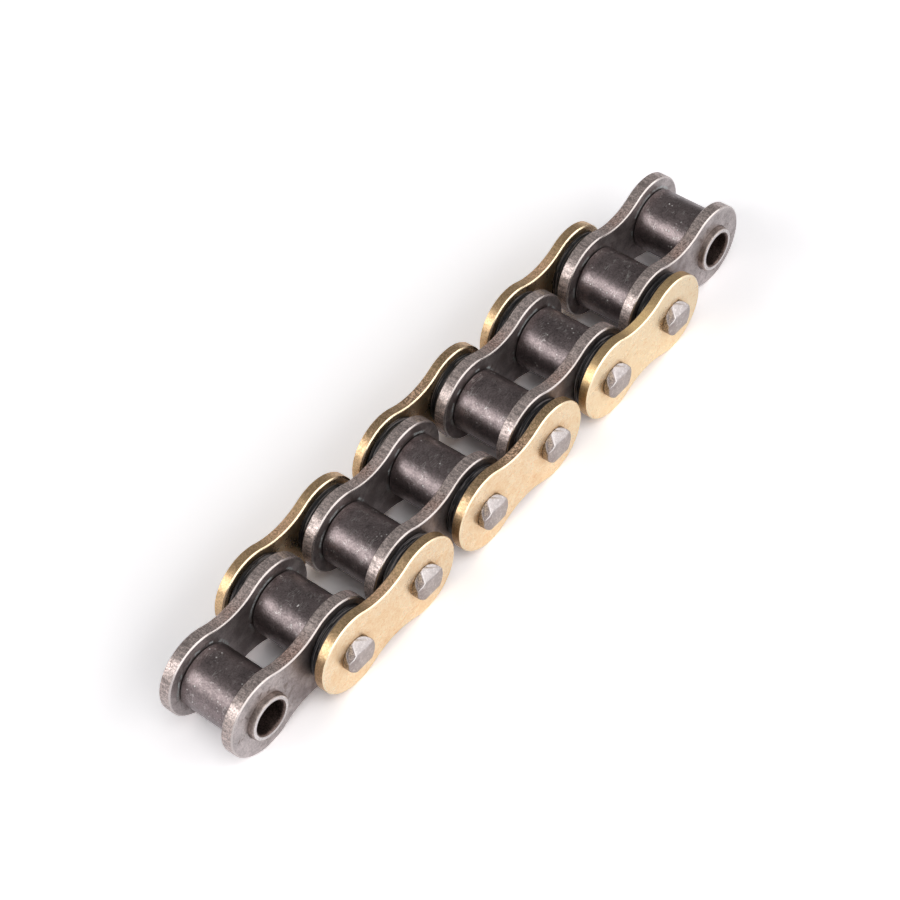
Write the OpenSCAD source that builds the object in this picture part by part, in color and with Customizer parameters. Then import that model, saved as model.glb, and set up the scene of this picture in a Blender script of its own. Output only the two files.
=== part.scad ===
// Short length of sealed motorcycle drive chain, in millimetres.
// The chain runs along X, its pins along Y, and it stands on its plates' lower edges at z = 0.

/* [Chain] */
// Distance between neighbouring pin centres
pitch = 12.7; // [12.6:0.05:14]
// Number of outer links; there is one more inner link, so both ends are inner
outer_links = 3; // [1:1:3]

/* [Inner links] */
// Clear width between the two inner plates
inner_width = 8.1; // [6.5:0.05:9.5]
// Thickness of an inner plate
inner_plate_t = 1.75; // [1.4:0.05:2.2]
// Height of an inner plate at its round ends
inner_plate_h = 11.7; // [10.5:0.05:12]
// Height of an inner plate at its waist
inner_waist_h = 8.8; // [7.5:0.05:9.6]

/* [Outer links] */
// Gap between an inner and an outer plate, which the seal fills
plate_gap = 1.4; // [1.1:0.05:1.8]
// Thickness of an outer plate
outer_plate_t = 1.5; // [1.2:0.05:2]
// Height of an outer plate at its round ends
outer_plate_h = 11.6; // [10.5:0.05:12]
// Height of an outer plate at its waist
outer_waist_h = 8.8; // [7.5:0.05:9.6]
// Bevel where the stamped edges of the plates were tumbled smooth
plate_edge = 0.22; // [0.1:0.02:0.4]

/* [Rollers and bushes] */
// Outside diameter of a roller
roller_d = 8.51; // [8.2:0.01:9]
// Play between a roller's end and the plate beside it
roller_end_play = 0.1; // [0.05:0.01:0.2]
// Play between a roller's bore and its bush, on the radius
roller_play = 0.06; // [0.03:0.01:0.1]
// Bevel at the ends of a roller
roller_edge = 0.35; // [0.1:0.05:0.5]
// Outside diameter of a bush
bush_d = 6.2; // [5.9:0.05:6.6]
// Length of bush that stands out of each inner plate
bush_proud = 0.82; // [0.5:0.02:1]
// Bevel round the outside of a bush's ends
bush_edge = 0.15; // [0.05:0.05:0.25]
// Flare of a bush's bore at its mouths, on the radius
bush_flare = 0.24; // [0.1:0.02:0.35]

/* [Pins] */
// Diameter of a pin
pin_d = 4.5; // [4.2:0.05:4.8]
// Play between a pin and its bush, on the radius
pin_play = 0.025; // [0.015:0.005:0.06]
// Length of pin that stands out of each outer plate
pin_proud = 1.1; // [0.7:0.05:1.5]
// Width of the flat left in the middle of a riveted pin end
peen_flat = 1.8; // [1:0.1:2.6]
// Slope of the four hammered facets round that flat, in degrees
peen_slope = 16; // [10:1:22]
// Diameter of the shallow swell where riveting spread the pin end
rivet_swell_d = 4.64; // [4.6:0.02:4.9]

/* [Seals] */
// Outside diameter of a seal ring
seal_d = 10; // [9.4:0.1:10.4]
// Play between a seal and the bush inside it, on the radius
seal_bush_play = 0.12; // [0.05:0.01:0.2]
// Play between a seal and the inner plate that turns against it
seal_plate_play = 0.05; // [0.03:0.01:0.1]
// Radius of each of the four lobes of a seal's cross section
seal_lobe_r = 0.36; // [0.28:0.01:0.42]
// Radius of the groove between two lobes
seal_groove_r = 0.3; // [0.2:0.01:0.34]

/* [Hidden] */
$fn = 96;
SLACK = 1;
// How far the waist arcs bite into a plate's round ends, so that the curves cross and don't just touch
waist_bite = 0.01;

inner_links = outer_links + 1;
link_count = inner_links + outer_links;
joint_count = link_count + 1;
SIDES = ["near", "far"];

pin_line_z = max(inner_plate_h, outer_plate_h) / 2;
inner_plate_y = inner_width / 2;
seal_y = inner_plate_y + inner_plate_t;
outer_plate_y = seal_y + plate_gap;
outer_face_y = outer_plate_y + outer_plate_t;
bush_end_y = seal_y + bush_proud;
pin_end_y = outer_face_y + pin_proud;

bush_bore_r = pin_d / 2 + pin_play;
roller_bore_r = bush_d / 2 + roller_play;
roller_half_l = inner_width / 2 - roller_end_play;
seal_bore_r = bush_d / 2 + seal_bush_play;
seal_t = plate_gap - seal_plate_play;

function inner_plate_name(i, side) = str("inner_link_", i, "_", side, "_plate");
function outer_plate_name(i, side) = str("outer_link_", i, "_", side, "_plate");
function bush_name(k) = str("bush_", k);
function roller_name(k) = str("roller_", k);
function pin_name(k) = str("pin_", k);
function seal_name(k, side) = str(side, "_seal_", k);

// Place along the chain of hinge point k, counted from 1 at the near end
function joint_x(k) = (k - (joint_count + 1) / 2) * pitch;

// Radius of the waist arc that runs into both round ends of a plate with hardly a corner
function waist_radius(r, waist_h) =
    (pow(pitch / 2, 2) + pow(waist_h / 2, 2) - pow(r - waist_bite, 2)) / (2 * (r - waist_bite) - waist_h);

// Turns a shape built round Z so that it lies along Y at a hinge point
module on_pin_line(x) {
    translate([x, 0, pin_line_z]) rotate([-90, 0, 0]) children();
}

// Places a plate built upwards from z = 0 with its inner face at distance y on one side of the chain
module on_side(x, y, side) {
    on_pin_line(x) mirror([0, 0, side == "near" ? 1 : 0]) translate([0, 0, y]) children();
}

// Half section of a bevelled disc, or of a cutter that flares by the bevel where flare is true
module edge_section(r, t, bevel, flare = false) {
    face_r = flare ? r + bevel : r - bevel;
    polygon([[0, 0], [face_r, 0], [r, bevel], [r, t - bevel], [face_r, t], [0, t]]);
}

// A link plate with round ends, a waist and bevelled edges, pierced at both hinge points
module link_plate(h, waist_h, t, hole_d) {
    r = h / 2;
    waist_r = waist_radius(r, waist_h);
    waist_centre = waist_h / 2 + waist_r;
    turn = atan2(waist_centre, pitch / 2);
    meeting = [pitch / 2 - r * cos(turn), r * sin(turn)];
    difference() {
        union() {
            for (end = [-1, 1])
                translate([end * pitch / 2, 0, 0]) rotate_extrude() edge_section(r, t, plate_edge);
            linear_extrude(t) polygon([
                [-pitch / 2, 0], [-meeting.x, meeting.y], [meeting.x, meeting.y],
                [pitch / 2, 0], [meeting.x, -meeting.y], [-meeting.x, -meeting.y]
            ]);
        }
        for (way = [-1, 1])
            translate([0, way * waist_centre, 0])
                rotate_extrude() edge_section(waist_r, t, plate_edge, flare = true);
        for (end = [-1, 1])
            translate([end * pitch / 2, 0, -SLACK]) cylinder(h = t + 2 * SLACK, d = hole_d);
    }
}

module inner_plate(i, side) {
    color("dimgray")
        on_side((joint_x(2 * i - 1) + joint_x(2 * i)) / 2, inner_plate_y, side)
            link_plate(inner_plate_h, inner_waist_h, inner_plate_t, bush_d);
}

module outer_plate(i, side) {
    color("goldenrod")
        on_side((joint_x(2 * i) + joint_x(2 * i + 1)) / 2, outer_plate_y, side)
            link_plate(outer_plate_h, outer_waist_h, outer_plate_t, pin_d);
}

// A bush: a plain tube, bevelled outside and flared at both mouths
module bush(k) {
    outer_r = bush_d / 2;
    mouth_r = bush_bore_r + bush_flare;
    color("silver") on_pin_line(joint_x(k)) rotate_extrude() polygon([
        [bush_bore_r, bush_flare - bush_end_y], [mouth_r, -bush_end_y],
        [outer_r - bush_edge, -bush_end_y], [outer_r, bush_edge - bush_end_y],
        [outer_r, bush_end_y - bush_edge], [outer_r - bush_edge, bush_end_y],
        [mouth_r, bush_end_y], [bush_bore_r, bush_end_y - bush_flare]
    ]);
}

module roller(k) {
    r = roller_d / 2;
    color("darkslategray") on_pin_line(joint_x(k)) rotate_extrude() polygon([
        [roller_bore_r, -roller_half_l], [r - roller_edge, -roller_half_l],
        [r, roller_edge - roller_half_l], [r, roller_half_l - roller_edge],
        [r - roller_edge, roller_half_l], [roller_bore_r, roller_half_l]
    ]);
}

// The half of a pin from the middle of the chain out to its riveted end
module pin_half() {
    facet_w = rivet_swell_d + 2 * SLACK;
    difference() {
        union() {
            cylinder(h = pin_end_y, d = pin_d);
            translate([0, 0, outer_face_y]) cylinder(h = pin_proud, d = rivet_swell_d);
        }
        for (turn = [0:90:270])
            rotate([0, 0, turn]) translate([peen_flat / 2, -facet_w / 2, pin_end_y])
                rotate([0, peen_slope, 0]) translate([-SLACK, 0, 0]) cube([facet_w, facet_w, SLACK]);
    }
}

module pin(k) {
    color("gray") on_pin_line(joint_x(k + 1)) {
        pin_half();
        mirror([0, 0, 1]) pin_half();
    }
}

// Cross section of a seal: four lobes, pressed flat by the plates, with a groove between each two
module seal_section() {
    half_w = (seal_d / 2 - seal_bore_r) / 2;
    squeeze = seal_lobe_r / 8;
    lobe_x = half_w - seal_lobe_r;
    lobe_y = seal_t / 2 - seal_lobe_r + squeeze;
    translate([seal_bore_r + half_w, seal_t / 2]) intersection() {
        difference() {
            union() {
                for (x = [-lobe_x, lobe_x], y = [-lobe_y, lobe_y])
                    translate([x, y]) circle(r = seal_lobe_r);
                square([2 * lobe_x + seal_lobe_r, 2 * lobe_y], center = true);
                square([2 * lobe_x, 2 * lobe_y + seal_lobe_r], center = true);
            }
            for (way = [-1, 1]) {
                translate([0, way * (seal_t / 2 + squeeze)]) circle(r = seal_groove_r);
                translate([way * half_w, 0]) circle(r = seal_groove_r);
            }
        }
        square([2 * half_w, seal_t], center = true);
    }
}

// A seal, pressed against its outer plate and just clear of the inner plate
module seal(k, side) {
    color("black") on_side(joint_x(k + 1), outer_plate_y - seal_t, side)
        rotate_extrude() seal_section();
}

for (i = [1:inner_links], side = SIDES)
    inner_plate(i, side);
for (k = [1:joint_count])
    bush(k);
for (k = [1:joint_count])
    roller(k);
for (i = [1:outer_links], side = SIDES)
    outer_plate(i, side);
for (k = [1:2 * outer_links])
    pin(k);
for (k = [1:2 * outer_links], side = SIDES)
    seal(k, side);
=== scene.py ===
"""Sealed motorcycle drive chain: dark inner links, gold outer links, rollers, riveted pins and X-ring seals."""
import math

import bmesh
import bpy
from mathutils import Matrix, Vector


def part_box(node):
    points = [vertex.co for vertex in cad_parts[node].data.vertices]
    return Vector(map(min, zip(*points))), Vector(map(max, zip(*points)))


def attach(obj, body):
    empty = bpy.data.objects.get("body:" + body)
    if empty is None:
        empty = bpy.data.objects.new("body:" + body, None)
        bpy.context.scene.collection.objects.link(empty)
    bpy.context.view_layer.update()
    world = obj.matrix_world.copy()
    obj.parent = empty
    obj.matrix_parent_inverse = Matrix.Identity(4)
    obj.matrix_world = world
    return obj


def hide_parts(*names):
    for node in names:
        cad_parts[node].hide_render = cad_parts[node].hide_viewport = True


bl_info = {
    "name": "Sealed drive chain",
    "version": (1, 0, 0),
    "blender": (4, 5, 0),
    "location": "View3D > Sidebar > Chain",
    "description": "Models a short length of sealed motorcycle chain piece by piece",
    "category": "Mesh",
}

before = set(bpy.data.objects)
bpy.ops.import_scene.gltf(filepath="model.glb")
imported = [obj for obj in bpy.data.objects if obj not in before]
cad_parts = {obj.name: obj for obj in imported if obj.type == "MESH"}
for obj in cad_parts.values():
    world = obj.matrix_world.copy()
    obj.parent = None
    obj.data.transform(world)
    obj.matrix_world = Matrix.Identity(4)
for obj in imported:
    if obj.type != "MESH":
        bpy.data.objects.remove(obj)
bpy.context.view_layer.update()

MM = 0.001
TO_MM = 1000.0
SIDES = ("near", "far")
OUTER_LINKS = 3
INNER_LINKS = OUTER_LINKS + 1
HINGE_POINTS = 2 * INNER_LINKS
PIN_COUNT = 2 * OUTER_LINKS


def centre_of(node):
    """The middle of a CAD node's box."""
    low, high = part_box(node)
    return (low + high) / 2


def size_of(node):
    """The three side lengths of a CAD node's box."""
    low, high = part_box(node)
    return high - low


# Places and sizes read from the frame
PIN_LINE = centre_of("bush_1").z
PITCH = centre_of("bush_2").x - centre_of("bush_1").x
INNER_PLATE_R = size_of("inner_link_1_far_plate").z / 2
INNER_PLATE_T = size_of("inner_link_1_far_plate").y
INNER_PLATE_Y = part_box("inner_link_1_far_plate")[0].y
OUTER_PLATE_R = size_of("outer_link_1_far_plate").z / 2
OUTER_PLATE_T = size_of("outer_link_1_far_plate").y
OUTER_PLATE_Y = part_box("outer_link_1_far_plate")[0].y
BUSH_R = size_of("bush_1").z / 2
BUSH_END = size_of("bush_1").y / 2
ROLLER_R = size_of("roller_1").z / 2
ROLLER_END = size_of("roller_1").y / 2
PIN_SWELL_R = size_of("pin_1").z / 2
PIN_END = size_of("pin_1").y / 2
SEAL_R = size_of("far_seal_1").z / 2
SEAL_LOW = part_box("far_seal_1")[0].y
SEAL_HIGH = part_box("far_seal_1")[1].y


def hinge_x(k):
    """Place along the chain of hinge point k, counted from 1 at the near end."""
    return centre_of(f"bush_{k}").x


def length_prop(name, description, mm, low, high):
    """A length property, given in millimetres and kept in metres."""
    return bpy.props.FloatProperty(
        name=name, description=description, default=mm * MM, min=low * MM, max=high * MM,
        unit="LENGTH", precision=5)


def colour_prop(name, description, colour):
    """A colour property with linear channels from 0 to 1."""
    return bpy.props.FloatVectorProperty(
        name=name, description=description, default=colour, min=0, max=1, size=3, subtype="COLOR")


class ChainSizes(bpy.types.PropertyGroup):
    """Sizes of the chain's finer forms"""

    waist_height: length_prop("Waist height", "Height of a plate at its waist", 8.8, 7.5, 9.6)
    plate_round: length_prop("Plate edge", "Reach of a plate's rounded edge in over its face", 0.24, 0.1, 0.5)
    plate_drop: length_prop("Plate edge depth", "Depth of that rounding down the rim", 0.18, 0.1, 0.4)
    roller_round: length_prop("Roller edge", "Radius of the rounding at a roller's ends", 0.35, 0.1, 0.6)
    roller_bore: length_prop("Roller bore", "Radius of a roller's bore", 3.16, 3.12, 3.3)
    bush_bore: length_prop("Bush bore", "Radius of a bush's bore", 2.275, 2.2, 2.4)
    bush_flare: length_prop("Bush mouth", "Flare of a bush's bore at its mouths", 0.3, 0.1, 0.35)
    bush_lip: length_prop("Bush lip", "Rounding round the outside of a bush's ends", 0.26, 0.05, 0.3)
    pin_radius: length_prop("Pin radius", "Radius of a pin inside its plates", 2.25, 2.1, 2.27)
    pin_soft: length_prop("Pin softness", "Rounding between the facets of a riveted end", 0.13, 0.02, 0.3)
    pin_top: bpy.props.FloatProperty(
        name="Pin top facet", description="Slope of the hammered facet on top of a riveted end",
        default=math.radians(37), min=math.radians(10), max=math.radians(40), subtype="ANGLE")
    pin_side: bpy.props.FloatProperty(
        name="Pin side facet", description="Slope of the hammered facet beside it",
        default=math.radians(10), min=math.radians(5), max=math.radians(25), subtype="ANGLE")
    seal_inside: length_prop("Seal bore", "Inner radius of a seal", 3.22, 3.15, 3.4)
    seal_lobe: length_prop("Seal lobe", "Radius of the four lobes of a seal's section", 0.36, 0.28, 0.42)


class ChainFinishes(bpy.types.PropertyGroup):
    """Colours of the chain's finishes"""

    dark_steel: colour_prop("Dark steel", "Face of an inner plate", (0.41, 0.37, 0.362))
    dark_rim: colour_prop("Dark rim", "Sheared rim of an inner plate", (0.56, 0.465, 0.435))
    gold: colour_prop("Gold", "Face of an outer plate", (1.0, 0.84, 0.6))
    gold_grain: colour_prop("Gold grain", "Darker grain in the face of an outer plate", (0.9, 0.65, 0.38))
    gold_rim: colour_prop("Gold rim", "Sheared rim of an outer plate", (1.0, 0.655, 0.355))
    roller_steel: colour_prop("Roller steel", "Skin of a roller", (0.228, 0.186, 0.186))
    pin_steel: colour_prop("Pin steel", "Riveted pin ends", (0.47, 0.425, 0.415))
    bush_steel: colour_prop("Bush steel", "Bush ends", (0.66, 0.625, 0.61))
    rubber: colour_prop("Rubber", "X-ring seals", (0.01, 0.01, 0.012))


class Wire:
    """A shader socket that adds Math nodes when it is used in arithmetic."""

    def __init__(self, sheet, socket):
        self.sheet = sheet
        self.socket = socket

    def combine(self, operation, first, second):
        """A Math node on two values."""
        return self.sheet.node("ShaderNodeMath", {"operation": operation}, {0: first, 1: second})

    def __add__(self, other):
        return self.combine("ADD", self, other)

    def __radd__(self, other):
        return self.combine("ADD", other, self)

    def __sub__(self, other):
        return self.combine("SUBTRACT", self, other)

    def __rsub__(self, other):
        return self.combine("SUBTRACT", other, self)

    def __mul__(self, other):
        return self.combine("MULTIPLY", self, other)

    def size(self):
        """The value without its sign."""
        return self.sheet.node("ShaderNodeMath", {"operation": "ABSOLUTE"}, {0: self})

    def step(self, low, high):
        """0 below low, 1 above high and a smooth rise between them."""
        return self.sheet.node(
            "ShaderNodeMapRange", {"interpolation_type": "SMOOTHSTEP"},
            {"Value": self, "From Min": low, "From Max": high})

    def other(self, output):
        """Another output of the same node."""
        return Wire(self.sheet, self.socket.node.outputs[output])


# Rise of a step that should look like a clean cut, and the noise values that a scratch fades between
SHARP = 0.001
SCRATCH_WIDTH = (0.004, 0.022)


class Sheet:
    """The node tree of one material, built through a few short calls."""

    def __init__(self, name):
        self.material = bpy.data.materials.new(name)
        self.material.use_nodes = True
        self.tree = self.material.node_tree
        self.tree.nodes.clear()
        self.place = self.node("ShaderNodeTexCoord", {}, {}, "Object")

    def node(self, kind, settings, inputs, output=0):
        """Adds a node, makes its settings, then sets or links its sockets, and returns one output."""
        made = self.tree.nodes.new(kind)
        for key, value in settings.items():
            setattr(made, key, value)
        for key, value in inputs.items():
            socket = made.inputs[key]
            if isinstance(value, Wire):
                self.tree.links.new(value.socket, socket)
            elif socket.type == "RGBA":
                socket.default_value = (*value[:3], 1)
            else:
                socket.default_value = value
        return Wire(self, made.outputs[output]) if made.outputs else None

    def mix(self, factor, first, second):
        """Mixes two colours."""
        return self.node("ShaderNodeMix", {"data_type": "RGBA"}, {0: factor, 6: first, 7: second}, 2)

    def tones(self, factor, colour, low, high):
        """One colour between two strengths of itself."""
        return self.mix(factor, [c * low for c in colour], [min(c * high, 1) for c in colour])

    def stretched(self, x, y, z):
        """Object coordinates scaled along each axis, to draw a pattern out."""
        return self.node("ShaderNodeMapping", {}, {"Vector": self.place, "Scale": (x, y, z)})

    def noise(self, grain_mm, detail, rough=0.55, bend=0.0, place=None):
        """Noise whose lumps are about one grain across."""
        return self.node("ShaderNodeTexNoise", {}, {
            "Vector": place or self.place, "Scale": 1 / (grain_mm * MM), "Detail": detail,
            "Roughness": rough, "Distortion": bend})

    def specks(self, cell_mm, share, low, high):
        """Small round specks, one to a cell, of which only a share show."""
        distance = self.node("ShaderNodeTexVoronoi", {}, {"Vector": self.place, "Scale": 1 / (cell_mm * MM)})
        pick = self.node("ShaderNodeSeparateColor", {}, {"Color": distance.other("Color")})
        shown = pick.step(1 - share, SHARP + 1 - share)
        return (1 - distance.step(low, high)) * shown * pick.other("Green")

    def scratches(self, gap_mm, length_mm, degrees):
        """Thin broken lines in the XY plane, where a drawn-out noise crosses its middle value."""
        turned = self.node("ShaderNodeMapping", {}, {
            "Vector": self.place, "Rotation": (0, 0, math.radians(degrees)), "Scale": (gap_mm / length_mm, 1, 1)})
        from_line = (self.noise(gap_mm, 1, 0.4, 0.0, turned) - 0.5).size()
        broken = self.noise(1.3, 3).step(0.52, 0.6)
        return (1 - from_line.step(*SCRATCH_WIDTH)) * broken

    def coordinate(self, axis):
        """One object coordinate in metres."""
        return self.node("ShaderNodeSeparateXYZ", {}, {0: self.place}, axis)

    def from_hinge(self):
        """Distance in millimetres from the nearest hinge line of the chain as it lies straight."""
        place = self.coordinate("X")
        along = self.node("ShaderNodeMath", {"operation": "PINGPONG"}, {0: place - hinge_x(1), 1: PITCH / 2})
        flat = self.node("ShaderNodeCombineXYZ", {}, {"X": along, "Z": place.other("Z") - PIN_LINE})
        return self.node("ShaderNodeVectorMath", {"operation": "LENGTH"}, {0: flat}, "Value") * TO_MM

    def along(self):
        """Place in millimetres along the chain, from its middle."""
        return self.coordinate("X") * TO_MM

    def across(self):
        """Place in millimetres across the chain, from its middle plane."""
        return self.coordinate("Y") * TO_MM

    def from_pin_level(self):
        """Height in millimetres above the pin line."""
        return (self.coordinate("Z") - PIN_LINE) * TO_MM

    def painted(self, name):
        """A value that the mesh carries."""
        return self.node("ShaderNodeAttribute", {"attribute_name": name}, {}, "Fac")

    def bump(self, height, depth_mm, over=None):
        """A bump whose full height is depth_mm, on top of another if one is given."""
        inputs = {"Height": height, "Strength": 1.0, "Distance": depth_mm * MM}
        if over:
            inputs["Normal"] = over
        return self.node("ShaderNodeBump", {}, inputs)

    def finish(self, **inputs):
        """Ends the material in one Principled shader and returns the material."""
        sockets = {key.replace("_", " "): value for key, value in inputs.items()}
        shader = self.node("ShaderNodeBsdfPrincipled", {}, sockets)
        self.node("ShaderNodeOutputMaterial", {}, {"Surface": shader})
        return self.material


# Tones of the dark plates
FACE_DARKENING = (0.18, 0.14, 0.135)
OIL_STAIN = (0.16, 0.115, 0.1)
GREASE = (0.5, 0.56, 0.56)
RUSTY_WAIST = (0.46, 0.31, 0.26)
RUST_PIT = (0.12, 0.07, 0.055)
WORN_EDGE_AND_HIGHLIGHT = (0.65, 0.59, 0.56)


def dark_plate_finish(colours):
    """Tumbled dark steel: mottled faces, granular sheared rims with brown pits, edges worn bright and given a painted
    highlight, and a little grease.
    """
    s = Sheet("tumbled_dark_steel")
    edge, rim, waist = s.painted("edge"), s.painted("rim"), s.painted("waist")
    hinge = s.from_hinge()
    middle = s.across().size()
    cloud = s.noise(2.3, 4, 0.6).step(0.36, 0.66)
    grit = s.noise(0.21, 3, 0.7)
    streak = s.noise(0.3, 3, 0.65, 0.3, s.stretched(1, 0.2, 1))
    sheared = (streak * (0.45 - waist * 0.3) + grit * (0.55 + waist * 0.3)).step(0.4, 0.62)
    pits = s.noise(0.38, 4, 0.75, 0.9).step(0.555, 0.62)
    # Faces: mottled steel, painted darker everywhere but at the chain's two ends, and stained round the bushes
    blotch = s.noise(1.1, 5, 0.75, 0.5).step(0.5, 0.66)
    near_bush = 1 - hinge.step(4.3, 5.8)
    sealed = 1 - s.along().size().step(37.5, 42.5)
    face = s.tones(cloud * 0.5 + grit.step(0.38, 0.64) * 0.5, colours.dark_steel, 1.5, 0.8)
    face = s.mix(sealed * (0.35 + cloud * 0.35), face, FACE_DARKENING)
    face = s.mix(blotch * near_bush * 0.75, face, OIL_STAIN)
    # Rims: torn steel, brown and pitted in the waist
    side = s.tones(sheared, colours.dark_rim, 0.55, 1.4)
    side = s.mix(waist * (0.35 + cloud * 0.5), side, s.tones(sheared, RUSTY_WAIST, 0.45, 1.4))
    side = s.mix(pits * (0.35 + waist * 0.5), side, RUST_PIT)
    # Inner faces: broken rings of grease round the rollers, and dust
    inside = 1 - middle.step(4.2, 4.4)
    ring = hinge.step(4.1, 4.3) * (1 - hinge.step(4.4, 4.75))
    grease = inside * ring * s.noise(1.6, 2).step(0.48, 0.56) * s.noise(0.2, 3, 0.8, 0.8).step(0.42, 0.54)
    grease = grease * s.from_pin_level().step(-2.5, 1.0)
    dust = inside * s.specks(0.6, 0.2, 0.08, 0.2) * s.noise(3.0, 2).step(0.5, 0.62)
    colour = s.mix(rim, face, side)
    # Edge roundings painted pale: partly wear, partly a painted highlight
    colour = s.mix(edge * (0.35 + grit * 0.7), colour, WORN_EDGE_AND_HIGHLIGHT)
    colour = s.mix(grease * 0.85 + dust * 0.6, colour, GREASE)
    metal = 0.9 - grease * 0.8 - dust * 0.5 - rim * (0.25 + waist * 0.25)
    roughness = 0.36 + cloud * 0.05 + rim * (waist * 0.3 - 0.08) + pits * rim * 0.1 - edge * 0.12 + grease * 0.1
    coarse = s.bump((grit * 0.5 + streak * 0.5) * rim * (0.4 + waist * 0.6) - pits * rim * 0.3, 0.03)
    skin = s.bump(grit + s.noise(0.9, 2), 0.007, coarse)
    return s.finish(Base_Color=colour, Metallic=metal, Roughness=roughness, Normal=skin)


# Tones of the gold plates
FRESH_GOLD = (1.0, 0.855, 0.585)
FRESH_GOLD_RIM = (1.0, 0.68, 0.32)
GOLD_STAIN = (0.84, 0.52, 0.24)
PIN_SHADE_AND_BROWN_TINT = (0.6, 0.34, 0.14)
COPPERY_WAIST = (1.0, 0.62, 0.36)
FLAKED_GOLD = (0.48, 0.325, 0.22)
GOLD_PIT = (0.26, 0.12, 0.045)
GOLD_EDGE = (1.0, 0.85, 0.6)


def gold_plate_finish(colours):
    """Gold plating: pale faces with painted shade and reflection of the pins round them, a little brown tint there
    too, and granular sheared rims that glint.
    """
    s = Sheet("gold_plated_steel")
    edge, rim, waist = s.painted("edge"), s.painted("rim"), s.painted("waist")
    hinge = s.from_hinge()
    # The plating has kept worst on the middle outer link and best on the near plate of the last one
    fresh = s.along().step(8, 13) * (1 - s.across().step(-2, 2))
    aged = 1 - s.along().size().step(8, 13) * 0.5 - fresh * 0.4
    cloud = s.noise(1.6, 4, 0.65, 0.4).step(0.38, 0.68)
    grit = s.noise(0.2, 3, 0.7)
    streak = s.noise(0.26, 3, 0.6, 0.3, s.stretched(1, 0.3, 1))
    sheared = (streak * (0.35 - waist * 0.2) + grit * (0.65 + waist * 0.2)).step(0.38, 0.64)
    stain = s.noise(0.9, 4, 0.7, 0.8).step(0.56, 0.7)
    pits = s.noise(0.42, 4, 0.75, 0.8).step(0.57, 0.64)
    flakes = s.noise(0.26, 3, 0.66, 0.5).step(0.45, 0.58)
    # Faces: pale gold with fine scratches, and round each pin a painted shade and reflection of the pin, with a
    # little brown tint
    pin_shade_ring = 1 - hinge.step(2.2, 3.4)
    crackle = s.scratches(0.7, 2.5, 62) + s.scratches(0.5, 2.0, -30)
    face = s.mix(cloud * 0.5 + grit.step(0.42, 0.62) * 0.5, colours.gold, colours.gold_grain)
    face = s.mix(fresh * 0.5, face, FRESH_GOLD)
    face = s.mix(stain * 0.35 + crackle * 0.5, face, GOLD_STAIN)
    # Painted shade and reflection of each pin, in a ring round it, slightly brown
    face = s.mix(pin_shade_ring * (0.4 + stain * 0.5), face, PIN_SHADE_AND_BROWN_TINT)
    # Rims: bright at the round ends, flaked and pitted in the waist
    side = s.tones(sheared, colours.gold_rim, 0.68, 1.08)
    side = s.mix(waist * 0.85, side, s.tones(sheared, COPPERY_WAIST, 0.62, 1.0))
    side = s.mix(aged * (0.45 + waist * 0.45), side, s.tones(flakes, FLAKED_GOLD, 0.35, 1.75))
    side = s.mix(fresh * (0.3 + waist * 0.6), side, s.tones(sheared, FRESH_GOLD_RIM, 0.9, 1.1))
    side = s.mix(pits * (0.25 + waist * 0.55) * (1 - fresh * 0.6), side, GOLD_PIT)
    colour = s.mix(rim, face, side)
    colour = s.mix(edge * (0.4 + grit * 0.5), colour, GOLD_EDGE)
    metal = 1 - rim * (0.1 + waist * 0.66)
    roughness = 0.27 + cloud * 0.06 + rim * (waist * 0.24 + 0.07) - edge * 0.04
    coarse = s.bump((sheared * (0.05 + waist * 0.5) + flakes * waist * 0.6) * rim, 0.045)
    skin = s.bump(grit + s.noise(1.2, 2) * 2.5 + stain * 0.6, 0.012, coarse)
    return s.finish(Base_Color=colour, Metallic=metal, Roughness=roughness, Normal=skin)


# Tones of the rollers
SCRATCHED_STEEL = (0.6, 0.56, 0.54)
DUST = (0.9, 0.88, 0.85)


def roller_finish(colours):
    """Heat-darkened roller skin with pitted grain, fine scratches and dust."""
    s = Sheet("heat_darkened_steel")
    cloud = s.noise(2.8, 4, 0.6).step(0.35, 0.68)
    mottle = s.noise(0.6, 4, 0.7, 0.3)
    grit = s.noise(0.2, 3, 0.7)
    rings = s.noise(0.16, 2, 0.5, 0.0, s.stretched(0.1, 1, 0.1))
    lines = s.scratches(0.5, 4, 35) + s.scratches(0.6, 3, -20)
    dust = s.specks(0.5, 0.36, 0.12, 0.28) * s.noise(3.0, 2).step(0.48, 0.58)
    tone = cloud * 0.35 + mottle.step(0.38, 0.62) * 0.25 + grit.step(0.4, 0.62) * 0.4
    colour = s.tones(tone, colours.roller_steel, 1.5, 0.55)
    colour = s.mix(lines * 0.6, colour, SCRATCHED_STEEL)
    colour = s.mix(dust, colour, DUST)
    metal = 0.86 - dust * 0.8
    roughness = 0.22 + mottle * 0.1 + grit * 0.06 + dust * 0.3
    skin = s.bump(grit * 1.5 + rings * 0.4 + mottle * 1.2, 0.017)
    return s.finish(Base_Color=colour, Metallic=metal, Roughness=roughness, Normal=skin)


# Tones of the pins
DENTED_AND_SHADED_STEEL = (0.27, 0.215, 0.2)
BRIGHT_DENT = (0.75, 0.71, 0.69)
SHADED_FLANK = (0.19, 0.155, 0.145)
CREST_HIGHLIGHT = (1.0, 0.97, 0.95)
BROWN_WALL_AND_SHADE = (0.38, 0.29, 0.21)


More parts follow.
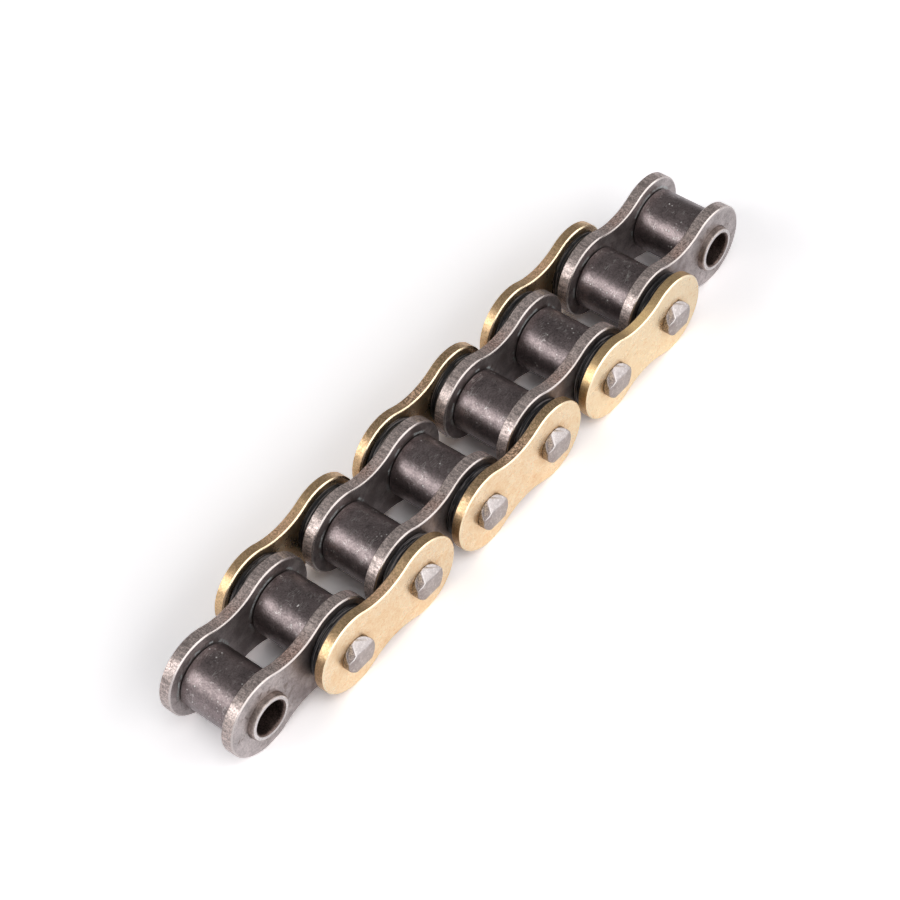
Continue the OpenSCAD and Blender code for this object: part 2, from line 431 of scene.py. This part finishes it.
def pin_finish(colours):
    """Grey hammered steel with a fine grain; painted shade on one side of each end and on its steep facet, a painted
    highlight on the crease above that facet, and its side wall painted brown, partly as shade.
    """
    s = Sheet("hammered_pin_steel")
    wall, shaded_side = s.painted("wall"), s.painted("shaded_side")
    flank, crest = s.painted("flank"), s.painted("crest")
    cloud = s.noise(0.9, 3).step(0.3, 0.7)
    grit = s.noise(0.17, 3, 0.7)
    dents = s.noise(0.4, 4, 0.65, 0.5)
    grains = grit.step(0.38, 0.64)
    colour = s.tones(cloud * 0.5 + grit.step(0.36, 0.66) * 0.5, colours.pin_steel, 1.16, 0.82)
    # Dents, and painted shade on the side of the end towards the near end of the chain
    colour = s.mix(dents.step(0.56, 0.68) * 0.35 + shaded_side * 0.4, colour, DENTED_AND_SHADED_STEEL)
    colour = s.mix((1 - dents.step(0.36, 0.46)) * 0.5, colour, BRIGHT_DENT)
    # The steep facet is painted dark as shade
    colour = s.mix(flank * 0.85, colour, s.tones(grains, SHADED_FLANK, 0.5, 1.5))
    # A painted highlight along the crease above the steep facet
    colour = s.mix(crest * (0.6 + dents.step(0.4, 0.6) * 0.4), colour, CREST_HIGHLIGHT)
    # The side wall is painted brown: partly its own brown tone, partly painted shade that the gold plate reflects
    colour = s.mix(wall, colour, s.tones(grains, BROWN_WALL_AND_SHADE, 0.45, 1.45))
    roughness = 0.33 + grit * 0.08 + wall * 0.1
    skin = s.bump(grit * 0.7 + dents * 2.5 + wall * grit * 2.0, 0.024)
    return s.finish(Base_Color=colour, Metallic=1.0, Roughness=roughness, Normal=skin)


# Tones of the bushes
OILY_WALL = (0.42, 0.35, 0.32)
BORE_SHADE = (0.15, 0.11, 0.098)


def bush_finish(colours):
    """Ground bush steel, bright on its end, oily down its side, and painted dark in its bore as shade."""
    s = Sheet("ground_bush_steel")
    wall, bore = s.painted("wall"), s.painted("bore")
    grit = s.noise(0.17, 3, 0.7)
    cloud = s.noise(1.1, 4, 0.7, 0.4).step(0.35, 0.65)
    grains = grit.step(0.36, 0.66)
    colour = s.tones(cloud * 0.5 + grains * 0.5, colours.bush_steel, 1.35, 0.85)
    colour = s.mix(wall, colour, s.tones(cloud * 0.6 + grains * 0.4, OILY_WALL, 0.5, 1.35))
    # The bore is painted dark as shade in its recess, with a little grain
    colour = s.mix(bore, colour, s.tones(cloud * 0.4 + grains * 0.6, BORE_SHADE, 0.3, 1.8))
    roughness = 0.22 + grit * 0.1 + wall * 0.16 + bore * 0.18
    skin = s.bump(grit * (1 + bore * 2), 0.007)
    return s.finish(Base_Color=colour, Metallic=1.0, Roughness=roughness, Normal=skin)


# Tones of the seals
SMEARED_RUBBER = (0.024, 0.026, 0.032)
MOULDING_LINE_AND_HIGHLIGHT = (0.26, 0.235, 0.235)


def rubber_finish(colours):
    """Greased black rubber with fine pale lines round it: partly moulding lines, partly a painted highlight on its
    ridges.
    """
    s = Sheet("greased_rubber")
    smear = s.noise(0.8, 3, 0.6, 0.5)
    lines = s.noise(0.13, 2, 0.5, 0.0, s.stretched(0.03, 1, 0.03))
    colour = s.mix(smear.step(0.5, 0.75), colours.rubber, SMEARED_RUBBER)
    # Pale lines round the seal: partly moulding lines, partly a painted highlight on the ridges
    colour = s.mix(lines.step(0.56, 0.6) * 0.7, colour, MOULDING_LINE_AND_HIGHLIGHT)
    roughness = 0.26 + smear * 0.16
    skin = s.bump(lines * 4.0 + s.noise(0.2, 3), 0.014)
    return s.finish(Base_Color=colour, Metallic=0.0, Roughness=roughness, Specular_IOR_Level=0.3, Normal=skin)


# Tones of the floor, to soft light, in shiny reflections and seen directly
PAPER = (0.88, 0.88, 0.89)
PAPER_IN_METAL = (1.2, 1.18, 1.22)
PAPER_TO_THE_EYE = (1.54, 1.52, 1.54)


def floor_finish():
    """Matt white paper, over-bright to the eye and to shiny metal, so that its open parts are pure white."""
    s = Sheet("white_paper")
    rays = s.node("ShaderNodeLightPath", {}, {}, "Is Camera Ray")
    paper = s.mix(rays.other("Is Glossy Ray"), PAPER, PAPER_IN_METAL)
    paper = s.mix(rays, paper, PAPER_TO_THE_EYE)
    return s.finish(Base_Color=paper, Metallic=0.0, Roughness=1.0, Specular_IOR_Level=0.0)


WELD_GAP = 0.0002 * MM
# Size of the plane that shrinks to a line's first point
SEED_SIZE = 0.1 * MM
# How far the ends of a bevel lean in to its middle, and how far they are drawn towards the corner
BEVEL_LEAN = 0.3
BEVEL_DRAW = 0.92
# Angles in degrees below which a crease between two faces is smoothed
CREASE = 35
PIN_CREASE = 14
SEAL_CREASE = 80


def object_mode():
    """Leaves edit mode if a piece is being edited."""
    if bpy.context.mode != "OBJECT":
        bpy.ops.object.mode_set(mode="OBJECT")


def clear_selection():
    """Leaves edit mode with nothing selected."""
    object_mode()
    bpy.ops.object.select_all(action="DESELECT")


def weld():
    """Joins points that lie on each other and leaves everything selected."""
    bpy.ops.mesh.select_all(action="SELECT")
    bpy.ops.mesh.remove_doubles(threshold=WELD_GAP)
    bpy.ops.mesh.select_all(action="SELECT")


def draw_line(name, points, closed=False):
    """Starts a mesh with one point and draws a line on from it by extruding; stays in edit mode."""
    clear_selection()
    bpy.ops.mesh.primitive_plane_add(size=SEED_SIZE, location=points[0])
    piece = bpy.context.object
    piece.name = piece.data.name = name
    bpy.ops.object.transform_apply(location=True, rotation=True, scale=True)
    bpy.ops.object.mode_set(mode="EDIT")
    bpy.ops.mesh.select_mode(type="VERT")
    bpy.ops.mesh.select_all(action="SELECT")
    bpy.ops.mesh.merge(type="CENTER")
    stops = points + points[:1] if closed else points
    for start, end in zip(stops, stops[1:]):
        bpy.ops.mesh.extrude_vertices_move(TRANSFORM_OT_translate={"value": end - start})
    weld()
    return piece


def spin_on(x, z, degrees, steps):
    """Spins what is selected about an axis along Y; a positive angle turns +X towards +Z."""
    bpy.ops.mesh.spin(steps=steps, angle=math.radians(degrees), center=(x, 0, z), axis=(0, 1, 0))


def rim_loop(piece, y):
    """Selects the open edges that lie level at y."""
    bpy.ops.mesh.select_mode(type="EDGE")
    bpy.ops.mesh.select_all(action="DESELECT")
    mesh = bmesh.from_edit_mesh(piece.data)
    for edge in mesh.edges:
        edge.select_set(edge.is_boundary and all(abs(v.co.y - y) < WELD_GAP for v in edge.verts))
    bmesh.update_edit_mesh(piece.data)


def face_outwards(smooth_below):
    """Turns all faces outwards, leaves edit mode and smooths the creases below an angle."""
    weld()
    bpy.ops.mesh.normals_make_consistent(inside=False)
    bpy.ops.object.mode_set(mode="OBJECT")
    bpy.ops.object.shade_smooth_by_angle(angle=math.radians(smooth_below), keep_sharp_edges=False)


def soft_bevel(corner, start, end):
    """Points of a bevel of a corner with broken ends, from corner + start to corner + end."""
    middle = (start + end) / 2
    inner = [point.lerp(middle, BEVEL_LEAN) * BEVEL_DRAW for point in (start, end)]
    return [corner + point for point in (start, *inner, end)]


def quarter_round(corner, start, end, steps):
    """Points of an elliptic rounding of a corner, from corner + start round to corner + end."""
    centre = corner + start + end
    turns = [math.pi / 2 * i / steps for i in range(steps + 1)]
    return [centre - start * math.sin(a) - end * math.cos(a) for a in turns]


def revolve(name, section, closed=True, steps=96):
    """A ring about the pin line at x = 0, from a section of (radius, y) points; stays in edit mode."""
    piece = draw_line(name, [Vector((p[0], p[1], PIN_LINE)) for p in section], closed)
    spin_on(0, PIN_LINE, 360, steps)
    weld()
    return piece


def from_pin_line(co):
    """Distance of a point from the pin line at x = 0."""
    return math.hypot(co.x, co.z - PIN_LINE)


def both_ends(half_section):
    """A closed section from its half on the far side."""
    return half_section + [Vector((p.x, -p.y)) for p in reversed(half_section)]


def copy_to(piece, name, moved):
    """A copy with a mesh of its own, which takes the move."""
    other = piece.copy()
    other.data = piece.data.copy()
    other.name = other.data.name = name
    other.data.transform(moved)
    bpy.context.scene.collection.objects.link(other)
    return other


def on_side(x, side):
    """Carries a piece built at x = 0 on the far side to its place; near pieces turn half about the pin line."""
    move = Matrix.Translation((x, 0, 0))
    if side == "far":
        return move
    up = Matrix.Translation((0, 0, PIN_LINE))
    return move @ up @ Matrix.Rotation(math.pi, 4, "X") @ up.inverted()


def dress(piece, material, body, node):
    """Gives a finished piece its material and its body, and hides the CAD node that it stands for."""
    piece.data.materials.clear()
    piece.data.materials.append(material)
    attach(piece, body)
    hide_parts(node)


def hand_out(first, material, places):
    """Copies a finished piece to its places, each a (name, move, body, node), and removes the first."""
    for name, move, body, node in places:
        dress(copy_to(first, name, move), material, body, node)
    bpy.data.objects.remove(first)


END_STEPS = 72
WAIST_STEPS = 22
HOLE_STEPS = 96
FACE_RING = 0.5 * MM
EDGE_HOLD = 0.03 * MM
HOLE_ROUND = 0.08 * MM


class PlateShape:
    """Outline of a link plate whose waist arcs run smoothly into its round ends."""

    def __init__(self, radius, thickness, low, hole, sizes):
        self.radius, self.thickness, self.low, self.hole = radius, thickness, low, hole
        self.round, self.drop = sizes.plate_round, sizes.plate_drop
        self.half = PITCH / 2
        waist = sizes.waist_height / 2
        self.waist_radius = (self.half ** 2 + waist ** 2 - radius ** 2) / (2 * (radius - waist))
        self.waist_centre = waist + self.waist_radius
        self.turn = math.degrees(math.atan2(self.waist_centre, self.half))

    def rim_section(self):
        """Rim as (depth in from the outline, y), from the inner face round to the outer face."""
        inward, up = Vector((self.round, 0)), Vector((0, self.drop))
        high = self.low + self.thickness
        foot = soft_bevel(Vector((0, self.low)), inward, up)
        head = soft_bevel(Vector((0, high)), -up, inward)
        close, ring = self.round + EDGE_HOLD, self.round + FACE_RING
        return [
            Vector((ring, self.low)), Vector((close, self.low)), *foot, foot[-1] + Vector((0, EDGE_HOLD)),
            head[0] - Vector((0, EDGE_HOLD)), *head, Vector((close, high)), Vector((ring, high))]

    def depth_at(self, x, z):
        """Depth in from the outline of a point measured from the plate's middle."""
        x, z = abs(x), abs(z)
        if x / self.half + z / self.waist_centre > 1:
            return self.radius - math.hypot(x - self.half, z)
        return math.hypot(x, self.waist_centre - z) - self.waist_radius


def model_plate(name, shape):
    """One link plate on the far side, its middle at x = 0, with rounded rims and two holes."""
    heading = math.radians(shape.turn)
    outward = Vector((math.cos(heading), 0, math.sin(heading)))
    corner = Vector((-shape.half, 0, PIN_LINE))
    points = [corner + outward * (shape.radius - p.x) + Vector((0, p.y, 0)) for p in shape.rim_section()]
    piece = draw_line(name, points)
    for end in (-1, 1):
        spin_on(end * shape.half, PIN_LINE, 360 - 2 * shape.turn, END_STEPS)
        spin_on(0, PIN_LINE + end * shape.waist_centre, 2 * shape.turn - 180, WAIST_STEPS)
    weld()
    object_mode()
    holes = [model_hole(shape, end * shape.half) for end in (-1, 1)]
    clear_selection()
    for part in [piece, *holes]:
        part.select_set(True)
    bpy.context.view_layer.objects.active = piece
    bpy.ops.object.join()
    bpy.ops.object.mode_set(mode="EDIT")
    for y in (shape.low, shape.low + shape.thickness):
        rim_loop(piece, y)
        bpy.ops.mesh.fill(use_beauty=True)
    face_outwards(CREASE)
    paint_plate(piece, shape)
    return piece


def model_hole(shape, x):
    """The wall of a hole in a plate, with its edges just broken."""
    low, high = shape.low, shape.low + shape.thickness
    wide = shape.hole + HOLE_ROUND
    section = [(wide, low), (shape.hole, low + HOLE_ROUND), (shape.hole, high - HOLE_ROUND), (wide, high)]
    wall = draw_line("hole_wall", [Vector((x + radius, y, PIN_LINE)) for radius, y in section])
    spin_on(x, PIN_LINE, 360, HOLE_STEPS)
    weld()
    object_mode()
    return wall


def paint(piece, name, value):
    """Writes a value for each point of a piece, which its material reads by name."""
    layer = piece.data.attributes.new(name, "FLOAT", "POINT")
    for i, point in enumerate(piece.data.vertices):
        layer.data[i].value = float(value(point.co))


def paint_plate(piece, shape):
    """Marks a plate's rim, the waist within it and its edge roundings, which the dark plates paint with wear and a
    painted highlight.
    """
    on_outline, bevel_share = 0.005 * MM, 0.9
    waist_full, waist_fade = 0.25, 0.45 * shape.half

    def sunk(co):
        return min(co.y - shape.low, shape.low + shape.thickness - co.y)

    def depth(co):
        return shape.depth_at(co.x, co.z - PIN_LINE)

    def on_rim(co):
        return depth(co) < on_outline and sunk(co) > bevel_share * shape.drop

    def in_waist(co):
        return min(max(1 + waist_full - abs(co.x) / waist_fade, 0), 1)

    paint(piece, "rim", on_rim)
    paint(piece, "edge", lambda co: depth(co) < bevel_share * shape.round and not on_rim(co))
    paint(piece, "waist", in_waist)


def plate_places(stem, kind, first_hinge, links):
    """Places of the plates of every inner or outer link; the first link starts at the first hinge point."""
    for link in range(1, links + 1):
        start = first_hinge + 2 * (link - 1)
        middle = (hinge_x(start) + hinge_x(start + 1)) / 2
        for side in SIDES:
            name, body = f"{stem}_{link}_{side}", f"{kind}_link_{link}"
            yield name, on_side(middle, side), body, f"{body}_{side}_plate"


class CHAIN_OT_dark_plates(bpy.types.Operator):
    """Models the eight dark inner plates"""

    bl_idname = "chain.dark_plates"
    bl_label = "Dark inner plates"

    def execute(self, context):
        shape = PlateShape(INNER_PLATE_R, INNER_PLATE_T, INNER_PLATE_Y, BUSH_R, context.scene.chain_sizes)
        first = model_plate("dark_plate", shape)
        material = dark_plate_finish(context.scene.chain_finishes)
        hand_out(first, material, plate_places("dark_plate", "inner", 1, INNER_LINKS))
        return {"FINISHED"}


class CHAIN_OT_gold_plates(bpy.types.Operator):
    """Models the six gold outer plates"""

    bl_idname = "chain.gold_plates"
    bl_label = "Gold outer plates"

    def execute(self, context):
        sizes = context.scene.chain_sizes
        shape = PlateShape(OUTER_PLATE_R, OUTER_PLATE_T, OUTER_PLATE_Y, sizes.pin_radius, sizes)
        first = model_plate("gold_plate", shape)
        material = gold_plate_finish(context.scene.chain_finishes)
        hand_out(first, material, plate_places("gold_plate", "outer", 2, OUTER_LINKS))
        return {"FINISHED"}


class CHAIN_OT_bushes(bpy.types.Operator):
    """Models the eight bushes"""

    bl_idname = "chain.bushes"
    bl_label = "Bushes"

    def execute(self, context):
        sizes = context.scene.chain_sizes
        lip, flare = sizes.bush_lip, sizes.bush_flare
        wall_from, bore_to = BUSH_R - 0.55 * lip, sizes.bush_bore + 0.75 * flare
        outside = quarter_round(Vector((BUSH_R, BUSH_END)), Vector((0, -lip)), Vector((-lip, 0)), 5)
        mouth = quarter_round(Vector((sizes.bush_bore, BUSH_END)), Vector((flare, 0)), Vector((0, -1.4 * flare)), 5)
        first = revolve("bush_tube", both_ends(outside + mouth))
        face_outwards(CREASE)
        paint(first, "wall", lambda co: from_pin_line(co) > wall_from)
        paint(first, "bore", lambda co: from_pin_line(co) < bore_to)
        places = [
            (f"bush_tube_{k}", Matrix.Translation((hinge_x(k), 0, 0)), f"inner_link_{(k + 1) // 2}", f"bush_{k}")
            for k in range(1, HINGE_POINTS + 1)]
        hand_out(first, bush_finish(context.scene.chain_finishes), places)
        return {"FINISHED"}


class CHAIN_OT_rollers(bpy.types.Operator):
    """Models the eight rollers"""

    bl_idname = "chain.rollers"
    bl_label = "Rollers"

    def execute(self, context):
        sizes = context.scene.chain_sizes
        wide, small = sizes.roller_round, sizes.roller_round * 0.6
        shoulder = quarter_round(Vector((ROLLER_R, ROLLER_END)), Vector((0, -wide)), Vector((-wide, 0)), 6)
        mouth = quarter_round(Vector((sizes.roller_bore, ROLLER_END)), Vector((small, 0)), Vector((0, -small)), 4)
        first = revolve("roller_shell", both_ends(shoulder + mouth), steps=128)
        face_outwards(CREASE)
        places = [
            (f"roller_shell_{k}", Matrix.Translation((hinge_x(k), 0, 0)), f"roller_{k}", f"roller_{k}")
            for k in range(1, HINGE_POINTS + 1)]
        hand_out(first, roller_finish(context.scene.chain_finishes), places)
        return {"FINISHED"}


# Hammered facets of a riveted end: heading round the pin in degrees, reach in millimetres and slope
TOP_FACET = (82, 0.95)
SIDE_FACET = (200, 1.0)
STEEP_FACET = (117, 1.42, math.radians(50))
LOWEST_FACET = (268, 1.75, math.radians(40))
FLAT_FACET = (0, 1.3, math.radians(6))
# Height over which a pin widens to the swell of its riveted end
RIVET_CONE = 0.05 * MM
# How near its plane a point lies on a facet
ON_FACET = 0.003 * MM
# Distance from the pin line, towards the near end of the chain, beyond which a riveted end is painted darker as shade
SHADED_SIDE_FROM = 0.97 * MM


def facet(end, heading, reach, slope):
    """A point on a hammered facet and the way it faces, from its heading round the pin, its reach and its slope."""
    outward = Vector((math.cos(math.radians(heading)), 0, math.sin(math.radians(heading))))
    foot = Vector((0, end * PIN_END, PIN_LINE)) + outward * reach * MM
    return foot, outward * math.sin(slope) + Vector((0, end * math.cos(slope), 0))


def above_steep_facet(co):
    """Distance of a point of a pin from the plane of the steep facet of its end, which is painted dark as shade."""
    foot, facing = facet(math.copysign(1, co.y), *STEEP_FACET)
    return abs((co - foot).dot(facing))


def crest_highlight_strength(co, reach):
    """How strong the painted highlight is on the crease above a steep facet: most at its low end."""
    bright_below, weak = 1.1 * MM, 0.4
    edge_band = 0.15 * MM
    inside = from_pin_line(co) < PIN_SWELL_R - edge_band
    on_crease = ON_FACET < above_steep_facet(co) < reach and inside
    return on_crease * (1.0 if co.z - PIN_LINE < bright_below else weak)


def cut_facets(end, sizes):
    """Cuts the hammered facets at one end of a pin."""
    facets = (
        (*TOP_FACET, sizes.pin_top), STEEP_FACET, (*SIDE_FACET, sizes.pin_side), LOWEST_FACET, FLAT_FACET)
    for foot, facing in [facet(end, *cut) for cut in facets]:
        bpy.ops.mesh.select_all(action="SELECT")
        bpy.ops.mesh.bisect(plane_co=foot, plane_no=facing, use_fill=True, clear_outer=True, threshold=WELD_GAP)
    weld()


def soften_facets(piece, sizes, above):
    """Rounds the creases of both riveted ends, and keeps every point within the pin's length."""
    bpy.ops.mesh.select_mode(type="EDGE")
    bpy.ops.mesh.select_all(action="DESELECT")
    mesh = bmesh.from_edit_mesh(piece.data)
    for edge in mesh.edges:
        outside = all(abs(v.co.y) > above for v in edge.verts)
        edge.select_set(outside and edge.calc_face_angle(0) > math.radians(5))
    bmesh.update_edit_mesh(piece.data)
    bpy.ops.mesh.bevel(offset=sizes.pin_soft, segments=3, affect="EDGES", clamp_overlap=False)
    for vert in mesh.verts:
        vert.co.y = max(-PIN_END, min(PIN_END, vert.co.y))
    bmesh.update_edit_mesh(piece.data)


class CHAIN_OT_pins(bpy.types.Operator):
    """Models the six riveted pins"""

    bl_idname = "chain.pins"
    bl_label = "Riveted pins"

    def execute(self, context):
        sizes = context.scene.chain_sizes
        face = OUTER_PLATE_Y + OUTER_PLATE_T
        spread = face + RIVET_CONE
        half = [Vector((PIN_SWELL_R, PIN_END)), Vector((PIN_SWELL_R, spread)), Vector((sizes.pin_radius, face))]
        first = revolve("riveted_pin", both_ends(half), closed=False)
        for end in (-1, 1):
            rim_loop(first, end * PIN_END)
            bpy.ops.mesh.edge_face_add()
        weld()
        for end in (-1, 1):
            cut_facets(end, sizes)
        soften_facets(first, sizes, spread + 0.02 * MM)
        face_outwards(PIN_CREASE)
        paint(first, "wall", lambda co: from_pin_line(co) > PIN_SWELL_R - 0.02 * MM)
        # Painted shade on the side of each end towards the near end of the chain
        paint(first, "shaded_side", lambda co: co.x < -SHADED_SIDE_FROM)
        # The steep facet, painted dark as shade
        paint(first, "flank", lambda co: above_steep_facet(co) < ON_FACET)
        # The crease above the steep facet, which carries a painted highlight
        paint(first, "crest", lambda co: crest_highlight_strength(co, 0.36 * sizes.pin_soft))
        places = [
            (f"riveted_pin_{k}", Matrix.Translation((hinge_x(k + 1), 0, 0)), f"outer_link_{(k + 1) // 2}", f"pin_{k}")
            for k in range(1, PIN_COUNT + 1)]
        hand_out(first, pin_finish(context.scene.chain_finishes), places)
        return {"FINISHED"}


RIDGE_STEPS = 25
RIDGE_DEPTH = 0.03 * MM
PLAIN_STEPS = 9
# Angles in degrees from a quarter's own heading at which the arc of its lobe starts and how far it turns
LOBE_START = -50
LOBE_TURN = 190


def seal_section(sizes):
    """Closed section of a seal: four lobes, pressed flat by the plates, a dip between each two, ridged outside."""
    lobe = sizes.seal_lobe
    middle = Vector(((SEAL_R + sizes.seal_inside) / 2, (SEAL_LOW + SEAL_HIGH) / 2))
    across = (SEAL_R - sizes.seal_inside) / 2 - lobe
    squeeze = lobe / 8
    up = (SEAL_HIGH - SEAL_LOW) / 2 - lobe + squeeze
    side_dip, face_dip = across + 0.5 * lobe, up + 0.22 * lobe
    dips = [Vector((side_dip, 0)), Vector((0, face_dip)), Vector((-side_dip, 0)), Vector((0, -face_dip))]
    points = []
    for quarter, dip in enumerate(dips):
        outer = quarter in (0, 3)
        points.append(middle + dip)
        diagonal = Vector((across if outer else -across, up if quarter < 2 else -up))
        steps = RIDGE_STEPS if outer else PLAIN_STEPS
        for i in range(steps + 1):
            a = math.radians(90 * quarter + LOBE_START + LOBE_TURN * i / steps)
            reach = lobe - (RIDGE_DEPTH if outer and i % 4 in (1, 2) else 0)
            points.append(middle + diagonal + reach * Vector((math.cos(a), math.sin(a))))
    return [Vector((p.x, min(max(p.y, SEAL_LOW), SEAL_HIGH))) for p in points]


class CHAIN_OT_seals(bpy.types.Operator):
    """Models the twelve X-ring seals"""

    bl_idname = "chain.seals"
    bl_label = "X-ring seals"

    def execute(self, context):
        first = revolve("x_ring", seal_section(context.scene.chain_sizes), steps=112)
        face_outwards(SEAL_CREASE)
        places = [
            (f"x_ring_{k}_{side}", on_side(hinge_x(k + 1), side), f"outer_link_{(k + 1) // 2}", f"{side}_seal_{k}")
            for k in range(1, PIN_COUNT + 1) for side in SIDES]
        hand_out(first, rubber_finish(context.scene.chain_finishes), places)
        return {"FINISHED"}


CAMERA_PLACE = Vector((-133.64, -133.69, 238.9)) * MM
CAMERA_AIM = Vector((-1.87, 1.26, 5.85)) * MM
CAMERA_ROLL = math.radians(-8.59)
CAMERA_LENS = 96.34
CAMERA_SENSOR = 36
CAMERA_CLIP = 0.01
FLOOR_SIZE = 3.0
WORLD_STRENGTH = 0.2
LAMP_DISTANCE = 1.2
# Lamps by name: direction from the chain, width and height in metres, and radiance
LAMPS = {
    "key_box": ((-0.735, 0.45, 0.507), 0.85, 0.66, 3.0),
    "front_box": ((0.2, -0.88, 0.43), 2.5, 1.15, 1.8),
    "top_box": ((-0.1, -0.25, 0.96), 0.6, 0.6, 1.6),
}


def soft_box(name, direction, width, height, radiance):
    """A rectangular lamp that faces the chain from a direction, as bright as its radiance."""
    clear_selection()
    place = Vector(direction).normalized() * LAMP_DISTANCE
    bpy.ops.object.light_add(type="AREA", location=place)
    lamp = bpy.context.object
    lamp.name = name
    lamp.rotation_euler = place.to_track_quat("Z", "Y").to_euler()
    lamp.data.shape = "RECTANGLE"
    lamp.data.size = width
    lamp.data.size_y = height
    lamp.data.energy = radiance * math.pi * width * height


class CHAIN_OT_stage(bpy.types.Operator):
    """Builds the floor, the lamps, the world and the camera"""

    bl_idname = "chain.stage"
    bl_label = "Stage"

    def execute(self, context):
        scene = context.scene
        clear_selection()
        bpy.ops.mesh.primitive_plane_add(size=FLOOR_SIZE, location=(0, 0, 0))
        floor = context.object
        floor.name = "floor"
        floor.data.materials.append(floor_finish())
        for name, lamp in LAMPS.items():
            soft_box(name, *lamp)
        world = bpy.data.worlds.new("studio")
        world.use_nodes = True
        background = world.node_tree.nodes["Background"]
        background.inputs["Color"].default_value = (1, 1, 1, 1)
        background.inputs["Strength"].default_value = WORLD_STRENGTH
        scene.world = world
        clear_selection()
        bpy.ops.object.camera_add(location=CAMERA_PLACE)
        camera = context.object
        camera.name = "camera"
        look = (CAMERA_PLACE - CAMERA_AIM).to_track_quat("Z", "Y").to_matrix().to_4x4()
        camera.matrix_world = Matrix.Translation(CAMERA_PLACE) @ look @ Matrix.Rotation(CAMERA_ROLL, 4, "Z")
        camera.data.lens = CAMERA_LENS
        camera.data.sensor_width = CAMERA_SENSOR
        camera.data.clip_start = CAMERA_CLIP
        scene.camera = camera
        scene.view_settings.view_transform = "Standard"
        return {"FINISHED"}


class CHAIN_PT_panel(bpy.types.Panel):
    """Lists the chain's sizes, finishes and pieces"""

    bl_idname = "CHAIN_PT_panel"
    bl_label = "Drive chain"
    bl_space_type = "VIEW_3D"
    bl_region_type = "UI"
    bl_category = "Chain"

    def draw(self, context):
        for group in (context.scene.chain_sizes, context.scene.chain_finishes):
            box = self.layout.box()
            for name in type(group).__annotations__:
                box.prop(group, name)
        for piece in PIECE_OPERATORS:
            self.layout.operator(piece.bl_idname)


PIECE_OPERATORS = (
    CHAIN_OT_stage, CHAIN_OT_dark_plates, CHAIN_OT_gold_plates, CHAIN_OT_bushes,
    CHAIN_OT_rollers, CHAIN_OT_pins, CHAIN_OT_seals,
)
CLASSES = (ChainSizes, ChainFinishes, *PIECE_OPERATORS, CHAIN_PT_panel)


def register():
    """Adds the classes and the two property groups."""
    for cls in CLASSES:
        bpy.utils.register_class(cls)
    bpy.types.Scene.chain_sizes = bpy.props.PointerProperty(type=ChainSizes)
    bpy.types.Scene.chain_finishes = bpy.props.PointerProperty(type=ChainFinishes)


def unregister():
    """Removes the classes and the two property groups."""
    del bpy.types.Scene.chain_finishes
    del bpy.types.Scene.chain_sizes
    for cls in reversed(CLASSES):
        bpy.utils.unregister_class(cls)


def main():
    """Builds the stage and every piece."""
    register()
    bpy.ops.chain.stage()
    bpy.ops.chain.dark_plates()
    bpy.ops.chain.gold_plates()
    bpy.ops.chain.bushes()
    bpy.ops.chain.rollers()
    bpy.ops.chain.pins()
    bpy.ops.chain.seals()
    clear_selection()


if __name__ == "__main__":
    main()
